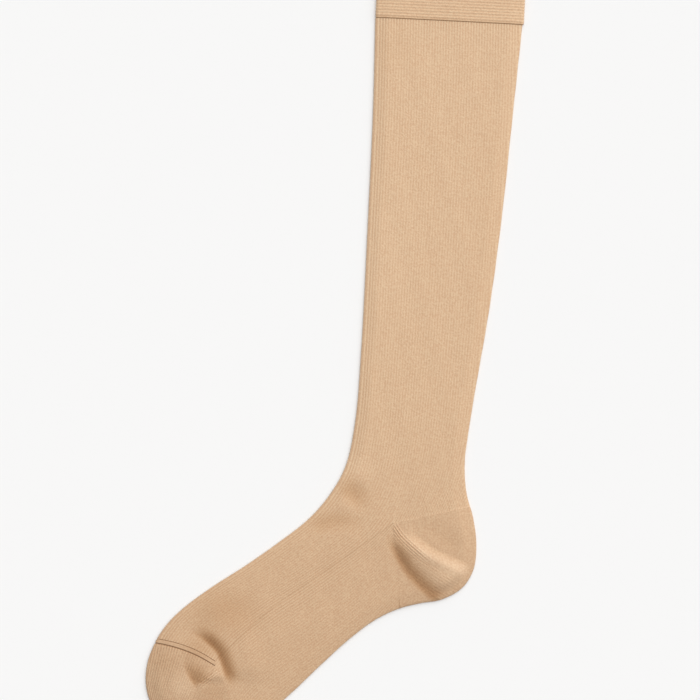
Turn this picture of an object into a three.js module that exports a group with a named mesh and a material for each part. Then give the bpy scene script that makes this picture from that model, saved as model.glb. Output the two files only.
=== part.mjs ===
// Knee-high compression stocking, one sock of ribbed elastic knit, laid flat on its side.
//
// Units are millimetres and +Z is up. The stocking lies on Z = 0 with the mouth towards +Y, the
// heel towards +X and the toe towards -X and -Y. It is knitted as one tube, so every piece is a
// thin wall that runs over the visible side, round the folds and back underneath:
//   top_band      the turned double band round the mouth
//   leg           the ribbed tube from the band to the ankle
//   heel_pocket   the plain knitted pocket between the leg and the sole, folded at the back
//   foot          the instep and the sole, one tube
//   toe_seam      the narrow linked strip over the toes, round the front fold only
//   toe_cap       the closed pocket round the toes
//
// The tables below use a drafting frame: X = 0 is the front fold of the leg and Y = 0 is the
// underside of the heel. The finished group is moved so that its origin is the middle of its box
// on the surface it lies on.
import * as THREE from "three";

// ---- Driving dimensions -----------------------------------------------------------------------
const WALL = 1.1; // the ribbed knit
const BAND_WALL = 1.6; // the band is turned down on itself, so it is stiffer and thicker
const BODY_HEIGHT = 3.2; // both layers of the flat tube and the air between them
const BAND_HEIGHT = 3.8;
const SEAM_GAP = 0.3; // between neighbouring pieces
const LEAST_AIR = 0.4; // between the two layers where a trough presses them together
const FOLD_REACH = 9; // how far in from a fold the relief grows to its full height
const PIVOT_RADIUS = 0.6; // the pockets' sections start this far from their corner

const MOUTH_Y = 417.5; // top edge of the band
const BAND_SEAM_Y = 392.5; // bottom edge of the band
const BAND_FRONT_X = -0.7;
const BAND_BACK_X = 100.45;

const point = (x, y) => new THREE.Vector2(x, y);

// ---- Corners where the pieces meet, on the visible side ---------------------------------------
const HEEL_CORNER = point(28.6, 50); // leg, foot and heel pocket meet here
const TOE_CORNER_UPPER = point(-87.6, -49.2); // the two ends of the toe seam
const TOE_CORNER_LOWER = point(-87.1, -53.1);
const TOE_SEAM_BOW = 2.6; // how far the toe seam arches towards the foot
const TOE_SEAM_STOP = 1.4; // how far short of its corners the toe seam ends

// Levels at which a seam reaches a fold of the flat tube.
const INSTEP_FOLD_Y = 69.3; // leg to foot, front fold
const HEEL_TOP_FOLD_Y = 63.8; // leg to heel pocket, back fold
const HEEL_SOLE_FOLD_Y = -7.5; // heel pocket to foot, back fold
const TOE_SEAM_UPPER_FOLD_Y = -36.3; // foot to toe seam, front fold
const TOE_SEAM_LOWER_FOLD_Y = -39.4; // toe seam to toe cap, front fold
const TOE_SOLE_FOLD_Y = -94.3; // foot to toe cap, back fold

// ---- The outline: two folds that meet at the tip of the toe -----------------------------------
// The toe is half an ellipse about the foot's own axis, a little fuller on the sole's side.
const TOE = {
  centre: point(-80.6, -48.2),
  axisDegrees: 221, // direction in which the foot points
  length: 59.2,
  insideWidth: 45.2,
  soleWidth: 46.5,
  stepDegrees: 15,
};

// Shin, instep and top of the foot, from the band down.
const FRONT_FOLD = [
  { x: -0.7, y: 392.5 },
  { x: 0.9, y: 330 },
  { x: 1.2, y: 250 },
  { x: 1.0, y: 165 },
  { x: -0.7, y: 117 },
  { x: -5.6, y: 87.5 },
  { x: -14.6, y: 68.6 },
  { x: -28.2, y: 50.8 },
  { x: -48.4, y: 33.2 },
  { x: -70.8, y: 15.8 },
  { x: -91.5, y: 1.1 },
];

// Calf, ankle, back and underside of the heel, and sole, from the band down.
const BACK_FOLD = [
  { x: 99.5, y: 392.5 },
  { x: 96.2, y: 335 },
  { x: 92.2, y: 264 },
  { x: 86.8, y: 200 },
  { x: 80.0, y: 144 },
  { x: 76.4, y: 112 },
  { x: 75.2, y: 93 },
  { x: 77.4, y: 73 },
  { x: 82.8, y: 56 },
  { x: 85.8, y: 38 },
  { x: 84.6, y: 21 },
  { x: 77.6, y: 8.4 },
  { x: 64.0, y: -0.2 },
  { x: 50.0, y: -3.4 },
  { x: 36.6, y: -7.4 },
  { x: 21.0, y: -15.4 },
  { x: 4.5, y: -28.6 },
  { x: -15.8, y: -48.8 },
  { x: -34.0, y: -68.0 },
];

// The knit line half way between the folds: down the leg to the heel corner, then along the foot,
// where it divides the instep from the sole.
const LEG_SIDE_LINE = [
  { x: 49.4, y: 392.5 },
  { x: 47.6, y: 300 },
  { x: 44.6, y: 220 },
  { x: 40.6, y: 150 },
  { x: 35.6, y: 98 },
  { x: 28.6, y: 50 },
];
const FOOT_SIDE_LINE = [
  { x: 28.6, y: 50 },
  { x: -12.3, y: 18.2 },
  { x: -50.0, y: -11.0 },
  { x: -87.6, y: -49.2 },
];

// ---- Relief of the visible side: soft domes, creases and tucks -------------------------------
// rise is in millimetres, negative for a hollow. reach is how far the form spreads.
const DOMES = [
  { name: "mouth", x: 50, y: 424, reachX: 46, reachY: 60, rise: 1.1 },
  { name: "heel", x: 68, y: 46, reachX: 34, reachY: 34, rise: 0.9 },
  { name: "ball of the foot", x: -62, y: -30, reachX: 48, reachY: 44, rise: 1.2 },
  { name: "toes", x: -108, y: -62, reachX: 40, reachY: 40, rise: 2.0 },
  { name: "middle of the sole", x: -20, y: -20, reachX: 30, reachY: 22, rise: 0.3 },
];

// Each form below follows its path from end to end. ends are the shares of the path over which it
// grows and dies away. A crease is a bell across its path: upperReach is on the side that looks
// towards the ankle or the calf, lowerReach on the side that looks towards the toe or the sole.
const CREASES = [
  {
    name: "hollow above the heel ridge",
    path: [point(42, 56), point(54, 47), point(66, 40), point(84, 35)],
    upperReach: 13,
    lowerReach: 8,
    rise: -0.5,
    ends: { first: 0.4, last: 0.3 },
  },
  {
    name: "crest of the heel ridge",
    path: [point(32, 49.5), point(46.4, 35), point(55.2, 29.5), point(65.5, 26), point(84, 20.5)],
    upperReach: 5,
    lowerReach: 7,
    rise: 0.4,
    ends: { first: 0.5, last: 0.1 },
  },
  {
    name: "upper ankle dip",
    path: [point(-12, 78), point(-2, 70), point(6, 64), point(18, 58)],
    upperReach: 13,
    lowerReach: 9,
    rise: -0.9,
    ends: { first: 0.3, last: 0.6 },
  },
  {
    name: "lower ankle dip",
    path: [point(-34, 43), point(-22, 47), point(-9, 50), point(5, 48.5), point(16, 45)],
    upperReach: 11,
    lowerReach: 10,
    rise: -0.8,
    ends: { first: 0.3, last: 0.6 },
  },
];

// Across a tuck the cloth comes down to the path from the upper side and dips a little on the
// other, over the length of the foot. climb is the length of the way down, and fall is how far
// beyond it the cloth takes to level out, both at the start and at the end of the path.
const TUCKS = [
  {
    name: "heel tuck",
    path: [
      point(27.6, 47.5),
      point(28, 38),
      point(32.5, 29.4),
      point(39.7, 18.7),
      point(47.9, 10.3),
      point(56.3, 3.2),
      point(65, -3),
    ],
    rise: 3.7,
    climb: { start: 6.5, end: 24 },
    fall: { start: 8, end: 11 },
    dip: 0.3,
    foot: 5,
    ends: { first: 0.42, last: 0.1 },
  },
  {
    name: "toe tuck",
    path: [
      point(-110.5, -27.9),
      point(-102.4, -30.9),
      point(-95.7, -34.4),
      point(-90.3, -38.4),
      point(-85.8, -43),
      point(-82.4, -49.5),
      point(-80, -55.7),
      point(-77.2, -61.7),
      point(-73.4, -68),
    ],
    rise: 1.6,
    climb: { start: 8, end: 12 },
    fall: { start: 26, end: 26 },
    dip: 0.4,
    foot: 5,
    ends: { first: 0.35, last: 0.3 },
  },
  {
    name: "tuck in the toe cap",
    path: [
      point(-109.5, -45),
      point(-107.7, -50),
      point(-105.1, -56),
      point(-101.4, -62.6),
      point(-95.2, -68.9),
    ],
    rise: 1.1,
    climb: { start: 13, end: 13 },
    fall: { start: 10, end: 10 },
    dip: 0.4,
    foot: 4,
    ends: { first: 0.7, last: 0.2 },
  },
];
const TUCK_ROUNDING = 0.2; // share of the climb in which the cloth turns upwards at the bottom
const TUCK_POWER = 3.1; // how much of the climb is near the bottom
const SOFTNESS = 3; // length over which the share along a path passes from one part to the next

// ---- How finely each piece is cut up ----------------------------------------------------------
// sections run along the piece; upper and lower are steps between a fold and the side line.
const DETAIL = {
  band: { sections: 4, upper: 5, lower: 3 },
  leg: { sections: 20, upper: 6, lower: 3 },
  foot: { sections: 20, upper: 8, lower: 3 },
  heel: { sections: 24, upper: 12, lower: 3 },
  toeSeam: { sections: 2, upper: 8, lower: 3 },
  toe: { sections: 26, upper: 11, lower: 3 },
};
const FOLD_STEPS = 4; // flats round each fold

// ---- Curves -----------------------------------------------------------------------------------
const { clamp, degToRad: degrees, lerp, smoothstep } = THREE.MathUtils;

// A point of the toe's outline. turn is 0 at the tip, -90 at the instep and 90 at the sole.
function toePoint(turn) {
  const along = point(1, 0).rotateAround(point(0, 0), degrees(TOE.axisDegrees));
  const toSole = point(-along.y, along.x);
  const width = turn < 0 ? TOE.insideWidth : TOE.soleWidth;
  return TOE.centre
    .clone()
    .addScaledVector(along, TOE.length * Math.cos(degrees(turn)))
    .addScaledVector(toSole, width * Math.sin(degrees(turn)));
}

function smoothCurve(rows) {
  return new THREE.CatmullRomCurve3(rows.map((row) => new THREE.Vector3(row.x, row.y, 0)));
}

// A fold's table, carried on round the toe to its tip and a little past it.
function foldCurve(rows, side) {
  const toe = [];
  for (let turn = 90; turn >= -TOE.stepDegrees; turn -= TOE.stepDegrees) {
    toe.push(toePoint(side * turn));
  }
  return smoothCurve([...rows, ...toe]);
}

const frontFold = foldCurve(FRONT_FOLD, -1);
const backFold = foldCurve(BACK_FOLD, 1);
const legSideLine = smoothCurve(LEG_SIDE_LINE);
const footSideLine = smoothCurve(FOOT_SIDE_LINE);

// The share of a curve's length at which it first comes down to a level.
function shareAtLevel(curve, level) {
  let above = 0;
  let below = 0;
  while (curve.getPointAt(below).y > level) {
    above = below;
    below = Math.min(1, below + 0.02);
  }
  for (let halving = 0; halving < 40; halving += 1) {
    const middle = (above + below) / 2;
    if (curve.getPointAt(middle).y > level) above = middle;
    else below = middle;
  }
  return above;
}

// The stretch of a curve between two shares of its length, as a function of 0 to 1.
function stretch(curve, from, to) {
  return (share) => {
    const at = curve.getPointAt(lerp(from, to, share));
    return point(at.x, at.y);
  };
}

// The stretch between two levels.
function stretchBetween(curve, fromLevel, toLevel) {
  return stretch(curve, shareAtLevel(curve, fromLevel), shareAtLevel(curve, toLevel));
}

// The outline round the toe, from the toe seam past the tip to the sole.
function toeOutline() {
  const fromShare = shareAtLevel(frontFold, TOE_SEAM_LOWER_FOLD_Y);
  const toShare = shareAtLevel(backFold, TOE_SOLE_FOLD_Y);
  const from = stretch(frontFold, fromShare, 1)(0);
  const to = stretch(backFold, toShare, 1)(0);
  const rows = [from];
  for (let turn = -45; turn <= 60; turn += TOE.stepDegrees) rows.push(toePoint(turn));
  rows.push(to);
  return smoothCurve(rows);
}

// ---- Relief -----------------------------------------------------------------------------------
const bell = (x) => (x < 1 ? (1 + Math.cos(Math.PI * x)) / 2 : 0);
const STEPS_PER_SPAN = 6;

for (const form of [...CREASES, ...TUCKS]) {
  const curve = smoothCurve(form.path);
  const steps = STEPS_PER_SPAN * (form.path.length - 1);
  form.line = curve.getPoints(steps).map((at) => point(at.x, at.y));
  form.length = curve.getLength();
}

// Where a place lies by a form's path: how far from it, how far along it, and on which side.
function placeBy(form, place) {
  const steps = form.line.slice(1).map((end, i) => {
    const start = form.line[i];
    const step = end.clone().sub(start);
    const offset = place.clone().sub(start);
    const share = clamp(offset.dot(step) / step.lengthSq(), 0, 1);
    const distance = offset.clone().addScaledVector(step, -share).length();
    return { distance, share: (i + share) / (form.line.length - 1), side: step.cross(offset) };
  });
  const nearest = steps.reduce((best, step) => (step.distance < best.distance ? step : best));
  let total = 0;
  let along = 0;
  for (const step of steps) {
    const weight = Math.exp((nearest.distance - step.distance) / SOFTNESS);
    total += weight;
    along += weight * step.share;
  }
  const lost = SOFTNESS / form.length;
  along = clamp((along / total - lost) / (1 - 2 * lost), 0, 1);
  return { distance: nearest.distance, along, upper: nearest.side > 0 };
}

function swell(form, along) {
  return smoothstep(along, 0, form.ends.first) * smoothstep(1 - along, 0, form.ends.last);
}

function creaseHeight(crease, place) {
  const { distance, along, upper } = placeBy(crease, place);
  const reach = upper ? crease.upperReach : crease.lowerReach;
  return crease.rise * bell(distance / reach) * swell(crease, along);
}

function tuckHeight(tuck, place) {
  const { distance, along, upper } = placeBy(tuck, place);
  const climb = lerp(tuck.climb.start, tuck.climb.end, along);
  const climbed = clamp(distance / climb, 0, 1);
  const turned = (climbed ** 2 * (1 + TUCK_ROUNDING)) / (climbed + TUCK_ROUNDING);
  const shoulder = 1 - (1 - turned) ** TUCK_POWER;
  const fall = lerp(tuck.fall.start, tuck.fall.end, along);
  const levelled = bell(Math.max(distance - climb, 0) / fall);
  const dip = tuck.dip * bell(distance / (upper ? climb : tuck.foot));
  const raised = upper ? tuck.rise * shoulder * levelled : 0;
  return (raised - dip) * swell(tuck, along);
}

function domeHeight(dome, place) {
  const away = Math.hypot((place.x - dome.x) / dome.reachX, (place.y - dome.y) / dome.reachY);
  return dome.rise * bell(away);
}

function reliefAt(place) {
  const heights = [
    ...DOMES.map((dome) => domeHeight(dome, place)),
    ...CREASES.map((crease) => creaseHeight(crease, place)),
    ...TUCKS.map((tuck) => tuckHeight(tuck, place)),
  ];
  return heights.reduce((sum, height) => sum + height, 0);
}

// ---- Sections of the wall ---------------------------------------------------------------------
// A hairpin is one layer over the other, joined round a fold: it runs from the inner point over
// the visible layer to the fold, round it, and back under to the inner point.
function hairpin(fold, inner, knit, detail, bow = 0) {
  const span = fold.distanceTo(inner);
  const inwards = inner.clone().sub(fold).normalize();
  const sideways = point(-inwards.y, inwards.x);
  const radius = knit.height / 2;
  const outerWall = [];
  const innerWall = [];
  const place = (distance) => {
    const share = distance / span;
    return fold
      .clone()
      .addScaledVector(inwards, distance)
      .addScaledVector(sideways, 4 * bow * share * (1 - share));
  };
  const add = (wall, distance, height) => {
    const at = place(distance);
    wall.push(new THREE.Vector3(at.x, at.y, height));
  };
  for (let k = 0; k <= detail.upper; k += 1) {
    const distance = lerp(span, radius, k / detail.upper);
    const grown = smoothstep(distance, radius, radius + FOLD_REACH);
    const relief = grown * reliefAt(place(distance));
    const top = Math.max(knit.height + relief, 2 * knit.wall + LEAST_AIR);
    add(outerWall, distance, top);
    add(innerWall, distance, top - knit.wall);
  }
  for (let k = 1; k < FOLD_STEPS; k += 1) {
    const turn = Math.PI * (0.5 - k / FOLD_STEPS);
    for (const [wall, r] of [[outerWall, radius], [innerWall, radius - knit.wall]]) {
      add(wall, radius - r * Math.cos(turn), radius + r * Math.sin(turn));
    }
  }
  for (let k = 0; k <= detail.lower; k += 1) {
    const distance = lerp(radius, span, k / detail.lower);
    add(outerWall, distance, 0);
    add(innerWall, distance, knit.wall);
  }
  return { outer: outerWall, inner: innerWall };
}

// A ring is two hairpins, one round each fold, that meet at the side line above and below.
function ring(front, middle, back, knit, detail, bow = 0) {
  const a = hairpin(front, middle, knit, detail, bow);
  const b = hairpin(back, middle, knit, detail);
  const join = (one, other) => [...one, ...other.slice(1, -1).reverse()];
  return { outer: join(a.outer, b.outer), inner: join(a.inner, b.inner) };
}

// ---- Closed wall through a row of sections ----------------------------------------------------
function wallGeometry(sections, closed) {
  const across = sections[0].outer.length;
  const last = sections.length - 1;
  const spans = closed ? across : across - 1;
  const vertices = sections.flatMap((section) => [...section.outer, ...section.inner]);
  const index = [];
  const outer = (i, j) => i * 2 * across + (j % across);
  const inner = (i, j) => outer(i, j) + across;
  const quad = (a, b, c, d) => index.push(a, b, c, a, c, d);
  for (let j = 0; j < spans; j += 1) {
    for (let i = 0; i < last; i += 1) {
      quad(outer(i, j), outer(i, j + 1), outer(i + 1, j + 1), outer(i + 1, j));
      quad(inner(i, j), inner(i + 1, j), inner(i + 1, j + 1), inner(i, j + 1));
    }
    quad(outer(0, j), inner(0, j), inner(0, j + 1), outer(0, j + 1));
    quad(outer(last, j), outer(last, j + 1), inner(last, j + 1), inner(last, j));
  }
  if (!closed) {
    const end = across - 1;
    for (let i = 0; i < last; i += 1) {
      quad(outer(i, 0), outer(i + 1, 0), inner(i + 1, 0), inner(i, 0));
      quad(outer(i, end), inner(i, end), inner(i + 1, end), outer(i + 1, end));
    }
  }
  if (signedVolume(vertices, index) < 0) index.reverse();
  const geometry = new THREE.BufferGeometry().setFromPoints(vertices);
  geometry.setIndex(index);
  geometry.computeVertexNormals();
  return geometry;
}

function signedVolume(vertices, index) {
  const cross = new THREE.Vector3();
  let total = 0;
  for (let i = 0; i < index.length; i += 3) {
    const [a, b, c] = [0, 1, 2].map((k) => vertices[index[i + k]]);
    total += cross.crossVectors(b, c).dot(a) / 6;
  }
  return total;
}

// Sections at even shares from 0 to 1, held back from both ends by half a seam's gap.
function sectionsAlong(count, length, makeSection) {
  const margin = SEAM_GAP / 2 / length;
  return Array.from({ length: count + 1 }, (_, i) => {
    return makeSection(lerp(margin, 1 - margin, i / count));
  });
}

// ---- Pieces -----------------------------------------------------------------------------------
const KNIT = { wall: WALL, height: BODY_HEIGHT };
const BAND_KNIT = { wall: BAND_WALL, height: BAND_HEIGHT };

function topBand() {
  const bottom = BAND_SEAM_Y + SEAM_GAP / 2;
  const { sections } = DETAIL.band;
  const rings = Array.from({ length: sections + 1 }, (_, i) => {
    const y = lerp(MOUTH_Y, bottom, i / sections);
    const middle = point((BAND_FRONT_X + BAND_BACK_X) / 2, y);
    return ring(point(BAND_FRONT_X, y), middle, point(BAND_BACK_X, y), BAND_KNIT, DETAIL.band);
  });
  return wallGeometry(rings, true);
}

function leg() {
  const front = stretchBetween(frontFold, BAND_SEAM_Y, INSTEP_FOLD_Y);
  const back = stretchBetween(backFold, BAND_SEAM_Y, HEEL_TOP_FOLD_Y);
  const middle = stretch(legSideLine, 0, 1);
  const rings = sectionsAlong(DETAIL.leg.sections, legSideLine.getLength(), (share) => {
    return ring(front(share), middle(share), back(share), KNIT, DETAIL.leg);
  });
  return wallGeometry(rings, true);
}

function foot() {
  const front = stretchBetween(frontFold, INSTEP_FOLD_Y, TOE_SEAM_UPPER_FOLD_Y);
  const back = stretchBetween(backFold, HEEL_SOLE_FOLD_Y, TOE_SOLE_FOLD_Y);
  const middle = stretch(footSideLine, 0, 1);
  const rings = sectionsAlong(DETAIL.foot.sections, footSideLine.getLength(), (share) => {
    const bow = TOE_SEAM_BOW * share ** 3;
    return ring(front(share), middle(share), back(share), KNIT, DETAIL.foot, bow);
  });
  return wallGeometry(rings, true);
}

// A pocket is a fan of hairpins from a corner, or from a short line between two corners.
function pocket(cornerAt, outline, length, detail, bowAt = () => 0) {
  const hairpins = sectionsAlong(detail.sections, length, (share) => {
    const fold = outline(share);
    const corner = cornerAt(share);
    const inner = corner.clone().lerp(fold, PIVOT_RADIUS / corner.distanceTo(fold));
    return hairpin(fold, inner, KNIT, detail, bowAt(share));
  });
  return wallGeometry(hairpins, false);
}

function heelPocket() {
  const outline = stretchBetween(backFold, HEEL_TOP_FOLD_Y, HEEL_SOLE_FOLD_Y);
  const towardsHeel = outline(0.5).clone().sub(HEEL_CORNER).setLength(SEAM_GAP);
  const corner = HEEL_CORNER.clone().add(towardsHeel);
  const length = HEEL_TOP_FOLD_Y - HEEL_SOLE_FOLD_Y;
  return pocket(() => corner, outline, length, DETAIL.heel);
}

// The toe seam stops a little short of its corners, where the toe cap closes round its end.
function toeSeam() {
  const front = stretchBetween(frontFold, TOE_SEAM_UPPER_FOLD_Y, TOE_SEAM_LOWER_FOLD_Y);
  const width = TOE_CORNER_UPPER.distanceTo(TOE_CORNER_LOWER);
  const hairpins = sectionsAlong(DETAIL.toeSeam.sections, width, (share) => {
    const fold = front(share);
    const corner = TOE_CORNER_UPPER.clone().lerp(TOE_CORNER_LOWER, share);
    const end = corner.lerp(fold, TOE_SEAM_STOP / corner.distanceTo(fold));
    return hairpin(fold, end, KNIT, DETAIL.toeSeam, TOE_SEAM_BOW);
  });
  return wallGeometry(hairpins, false);
}

// The toe cap's first sections start at the lower end of the toe seam and its last ones at the
// upper end.
function toeCap() {
  const curve = toeOutline();
  const outline = stretch(curve, 0, 1);
  const towardsTip = toePoint(0).sub(TOE_CORNER_LOWER).setLength(SEAM_GAP);
  const alongFoot = outline(1).sub(TOE_CORNER_UPPER).setLength(SEAM_GAP);
  const first = TOE_CORNER_LOWER.clone().add(towardsTip);
  const last = TOE_CORNER_UPPER.clone().add(point(alongFoot.y, -alongFoot.x));
  const cornerAt = (share) => first.clone().lerp(last, smoothstep(share, 0.5, 1));
  const bowAt = (share) => TOE_SEAM_BOW * (1 - smoothstep(share, 0, 0.3));
  return pocket(cornerAt, outline, curve.getLength(), DETAIL.toe, bowAt);
}

// ---- Assembly ---------------------------------------------------------------------------------
const COLOURS = { ribbed: 0xdcbb98, plain: 0xd3b18e, band: 0xd8b695 };

function knitMaterial(colour) {
  return new THREE.MeshStandardMaterial({ color: colour, roughness: 0.8, metalness: 0 });
}

const PIECES = [
  { name: "top_band", geometry: topBand(), colour: COLOURS.band },
  { name: "leg", geometry: leg(), colour: COLOURS.ribbed },
  { name: "heel_pocket", geometry: heelPocket(), colour: COLOURS.plain },
  { name: "foot", geometry: foot(), colour: COLOURS.ribbed },
  { name: "toe_seam", geometry: toeSeam(), colour: COLOURS.band },
  { name: "toe_cap", geometry: toeCap(), colour: COLOURS.plain },
];

const stocking = new THREE.Group();
for (const piece of PIECES) {
  const mesh = new THREE.Mesh(piece.geometry, knitMaterial(piece.colour));
  mesh.name = piece.name;
  stocking.add(mesh);
}

const box = new THREE.Box3().setFromObject(stocking);
const middle = box.getCenter(new THREE.Vector3());
for (const mesh of stocking.children) {
  mesh.position.set(-middle.x, -middle.y, -box.min.z);
}

export default stocking;
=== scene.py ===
"""Knee-high compression stocking, laid flat on its side: surfaces, materials, light and camera.

Lengths in the tables are millimetres in a drafting frame: X = 0 is the front fold of the leg and
Y = 0 is the underside of the heel. place() moves them into the CAD's frame, in metres.

Every piece is a thin closed shell of cloth. Its grid has rows along the piece, and columns that run
across the visible side and back underneath.
"""
import math

import bpy
import numpy as np
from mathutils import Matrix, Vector


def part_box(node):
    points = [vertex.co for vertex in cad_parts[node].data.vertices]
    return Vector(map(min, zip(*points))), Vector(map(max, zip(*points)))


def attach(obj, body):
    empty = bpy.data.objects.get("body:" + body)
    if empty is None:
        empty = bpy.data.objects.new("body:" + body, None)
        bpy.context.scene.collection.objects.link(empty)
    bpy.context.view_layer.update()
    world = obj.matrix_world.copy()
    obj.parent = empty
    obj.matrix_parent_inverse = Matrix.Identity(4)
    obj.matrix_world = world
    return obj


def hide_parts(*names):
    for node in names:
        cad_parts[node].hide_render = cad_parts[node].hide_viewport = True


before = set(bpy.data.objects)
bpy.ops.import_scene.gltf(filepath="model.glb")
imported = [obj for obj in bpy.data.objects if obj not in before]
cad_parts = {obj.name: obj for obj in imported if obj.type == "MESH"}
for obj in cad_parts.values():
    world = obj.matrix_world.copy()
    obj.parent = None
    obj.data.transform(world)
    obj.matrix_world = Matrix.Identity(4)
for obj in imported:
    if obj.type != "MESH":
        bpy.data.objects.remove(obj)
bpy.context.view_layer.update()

MM = 0.001

# ---- Cloth ------------------------------------------------------------------------------------
WALL = 0.9
HEIGHT = 3.2  # of the flat tube, both layers and the air between them
FOLD_RADIUS = 1.05  # half the height of the rounded folds
BAND_WALL = 1.4
BAND_HEIGHT = 3.8
BAND_FOLD_RADIUS = 1.45
FOLD_LENGTH = 2.4  # how far a fold's round reaches in
FOLD_REACH = 10.0  # how far in from a fold the tube gets to its full height
LEAST_AIR = 0.3  # between the layers where a trough presses them together

MOUTH_Y = 417.5
BAND_SEAM_Y = 392.5
BAND_FRONT_X = -0.7
BAND_BACK_X = 100.45

QUARTER_COLUMNS = 104  # of the mesh, between a fold and the side line
INNER_STEP = 4  # outer columns of a ring for each column of its inside
RIB_PITCH = 1.9  # ribs run parallel to the front fold
RIB_DEPTH = 0.14
SOLE_RIB_DEPTH = 0.1
COURSE_PITCH = 2.0  # of the crosswise lines on the band
COURSE_DEPTH = 0.22

# ---- Corners and levels where the pieces meet -------------------------------------------------
HEEL_CORNER = (28.6, 50.0)
TOE_CORNER_UPPER = (-87.6, -49.2)
TOE_CORNER_LOWER = (-87.1, -53.1)
TOE_SEAM_BOW = 2.6
INSTEP_FOLD_Y = 69.3
HEEL_TOP_FOLD_Y = 63.8
HEEL_SOLE_FOLD_Y = -7.5
TOE_SEAM_UPPER_FOLD_Y = -36.3
TOE_SEAM_LOWER_FOLD_Y = -39.4
TOE_SOLE_FOLD_Y = -94.3
PIVOT = 0.15  # the pockets' sections start this far from their corner

# ---- Outline ----------------------------------------------------------------------------------
TOE_CENTRE = (-80.6, -48.2)
TOE_AXIS = math.radians(221)
TOE_LENGTH = 59.2
TOE_WIDTHS = {-1: 45.2, 1: 46.5}  # towards the instep and towards the sole
TOE_STEP = 15  # degrees
TOE_CAP_TURNS = (-45, 60)  # the stretch of the toe's outline that the toe cap takes, in degrees
TOE_RIB_CENTRE = (-150, -187)  # the ribs of the toe cap run from the seam towards this point
TOE_RIB_REACH = 150  # how far from it they are at their usual pitch

FRONT_FOLD = [
    (-0.7, 392.5), (0.9, 330), (1.2, 250), (1.0, 165), (-0.7, 117), (-5.6, 87.5),
    (-14.6, 68.6), (-28.2, 50.8), (-48.4, 33.2), (-70.8, 15.8), (-91.5, 1.1),
]
BACK_FOLD = [
    (99.5, 392.5), (96.2, 335), (92.2, 264), (86.8, 200), (80.0, 144), (76.4, 112),
    (75.2, 93), (77.4, 73), (82.8, 56), (85.8, 38), (84.6, 21), (77.6, 8.4),
    (64.0, -0.2), (50.0, -3.4), (36.6, -7.4), (21.0, -15.4), (4.5, -28.6),
    (-15.8, -48.8), (-34.0, -68.0),
]
LEG_SIDE_LINE = [
    (49.4, 392.5), (47.6, 300), (44.6, 220), (40.6, 150), (35.6, 98), HEEL_CORNER,
]
FOOT_SIDE_LINE = [HEEL_CORNER, (-12.3, 18.2), (-50.0, -11.0), TOE_CORNER_UPPER]

# ---- Relief of the visible side ---------------------------------------------------------------
# rise is negative for a hollow. reach is how far the form spreads from its middle.
DOMES = [
    {"at": (50, 424), "reach": (46, 60), "rise": 1.1},  # mouth
    {"at": (68, 46), "reach": (34, 34), "rise": 0.9},  # heel
    {"at": (-62, -30), "reach": (48, 44), "rise": 1.2},  # ball of the foot
    {"at": (-108, -62), "reach": (40, 40), "rise": 2.0},  # toes
    {"at": (30, 330), "reach": (34, 60), "rise": 0.15},  # shin
    {"at": (66, 265), "reach": (30, 70), "rise": 0.15},  # calf
    {"at": (25, 190), "reach": (24, 50), "rise": 0.15},  # lower shin
    {"at": (50, 120), "reach": (26, 40), "rise": 0.2},  # above the ankle
    {"at": (-20, -20), "reach": (30, 22), "rise": 0.3},  # arch
]

# Soft creases. reach is how far one spreads on the upper side, which looks towards the ankle or the
# calf, and on the lower side, towards the toe or the sole. ends are the shares of the path in which
# it grows and dies away. shade is painted shade along the path, or painted highlight where it is
# negative, and dark is how far that reaches on the upper and the lower side.
CREASES = [
    {  # hollow above the heel ridge
        "rise": -0.5, "reach": (13, 8), "ends": (0.4, 0.3), "shade": 0.02, "dark": (12, 8),
        "path": [(42, 56), (54, 47), (66, 40), (84, 35)],
    },
    {  # crest of the heel ridge, painted paler as a highlight
        "rise": 0.4, "reach": (5, 7), "ends": (0.5, 0.1), "shade": -0.09, "dark": (5, 9),
        "path": [
            (32, 49.5), (37.4, 44), (46.4, 35), (55.2, 29.5), (65.5, 26), (75.9, 22.6), (84, 20.5),
        ],
    },
    {  # upper ankle dip
        "rise": -0.9, "reach": (13, 9), "ends": (0.3, 0.6), "shade": 0.13, "dark": (14, 9),
        "path": [(-12, 78), (-2, 70), (6, 64), (18, 58)],
    },
    {  # lower ankle dip
        "rise": -0.8, "reach": (11, 10), "ends": (0.3, 0.6), "shade": 0.1, "dark": (9, 10),
        "path": [(-34, 43), (-22, 47), (-9, 50), (5, 48.5), (16, 45)],
    },
]

# Tucks: the cloth comes down to the path from the upper side, over the climb (its length at the
# start and at the end of the path), and is low on the other side. fall is how far the upper side
# takes to level out at either end, and foot is how far the dip reaches on the lower side.
# shade and dark are painted shade along the tuck and how far it reaches, as for the creases.
HEEL_TUCK = {
    "rise": 3.6, "climb": (7, 24), "fall": (8, 11), "dip": 0.3, "foot": 5,
    "ends": (0.38, 0.1), "shade": 0.28, "dark": (10, 5),
    "path": [
        (27.6, 47.5), (28, 38), (32.5, 29.4), (39.7, 18.7), (47.9, 10.3), (56.3, 3.2), (65, -3),
    ],
}
TOE_TUCK = {
    "rise": 1.6, "climb": (7, 12), "fall": (26, 26), "dip": 0.4, "foot": 5,
    "ends": (0.35, 0.2), "shade": 0.34, "dark": (10.5, 3),
    "path": [
        (-110.5, -27.9), (-102.4, -30.9), (-95.7, -34.4), (-90.3, -38.4), (-85.8, -43),
        (-82.4, -49.5), (-80, -55.7), (-77.2, -61.7), (-73.4, -68),
    ],
}
TOE_CAP_TUCK = {
    "rise": 1.2, "climb": (13, 13), "fall": (10, 10), "dip": 0.4, "foot": 4,
    "ends": (0.8, 0.12), "shade": 0.23, "dark": (13, 3),
    "path": [(-110, -45), (-108.2, -50), (-105.6, -56), (-102, -62.6), (-96, -69)],
}
TUCKS = [HEEL_TUCK, TOE_TUCK, TOE_CAP_TUCK]
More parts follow.
